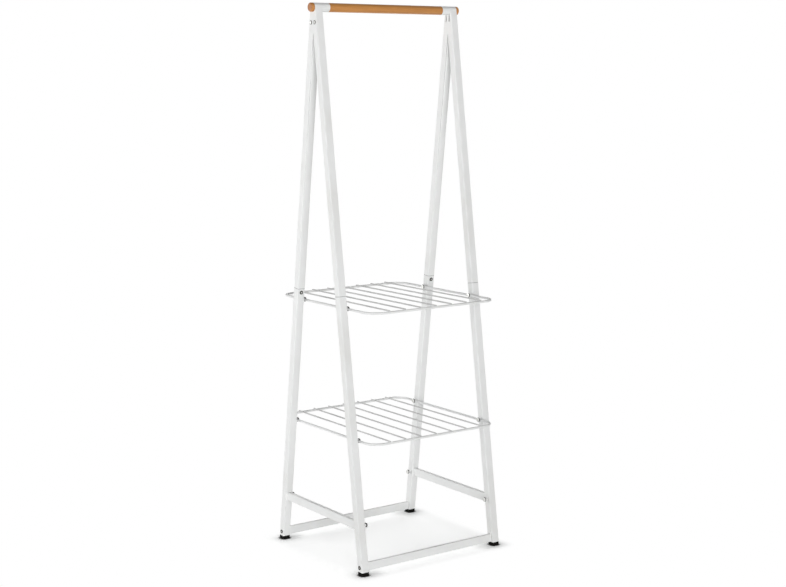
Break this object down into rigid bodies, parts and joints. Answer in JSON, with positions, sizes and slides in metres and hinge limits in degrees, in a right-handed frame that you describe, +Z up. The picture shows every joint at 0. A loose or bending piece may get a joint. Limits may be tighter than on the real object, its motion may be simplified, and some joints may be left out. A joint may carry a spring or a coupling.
{
  "type": "clothes rack",
  "caption": "Free-standing clothes rack with leaning square-tube legs, a round wooden hanging rod across the top and wire shelves below for shoes and boxes.",
  "frame": {"origin": "on the floor, in the middle of the four feet", "axes": "+X along the hanging rod, -Y towards the front, +Z up"},
  "size_m": [0.615, 0.5774, 1.9],
  "materials": {
    "white_paint": "satin powder coat",
    "rod_wood": "clear satin varnish",
    "foot_rubber": "matt",
    "collar_plastic": "matt",
    "bare_steel": "zinc plated"
  },
  "bodies": {
    "root": {"hanging_rod": "rod_wood", "rod_caps": "rod_wood", "left_hub": "white_paint", "left_crossbar": "white_paint", "front_left_upper_leg": "white_paint", "front_left_lower_leg": "white_paint", "front_left_joint_tube": "bare_steel", "front_left_foot": "foot_rubber", "rear_left_upper_leg": "white_paint", "rear_left_lower_leg": "white_paint", "rear_left_joint_tube": "bare_steel", "rear_left_foot": "foot_rubber", "right_hub": "white_paint", "right_crossbar": "white_paint", "front_right_upper_leg": "white_paint", "front_right_lower_leg": "white_paint", "front_right_joint_tube": "bare_steel", "front_right_foot": "foot_rubber", "rear_right_upper_leg": "white_paint", "rear_right_lower_leg": "white_paint", "rear_right_joint_tube": "bare_steel", "rear_right_foot": "foot_rubber", "front_rail": "white_paint", "rear_rail": "white_paint", "upper_shelf": "white_paint", "upper_shelf_collars": "collar_plastic", "upper_shelf_screws": "bare_steel", "lower_shelf": "white_paint", "lower_shelf_collars": "collar_plastic", "lower_shelf_screws": "bare_steel", "crossbar_spacers": "white_paint", "crossbar_collars": "collar_plastic", "crossbar_screws": "bare_steel", "hub_screws": "bare_steel", "seam_screws": "bare_steel", "rail_screws": "bare_steel"}
  },
  "joints": []
}
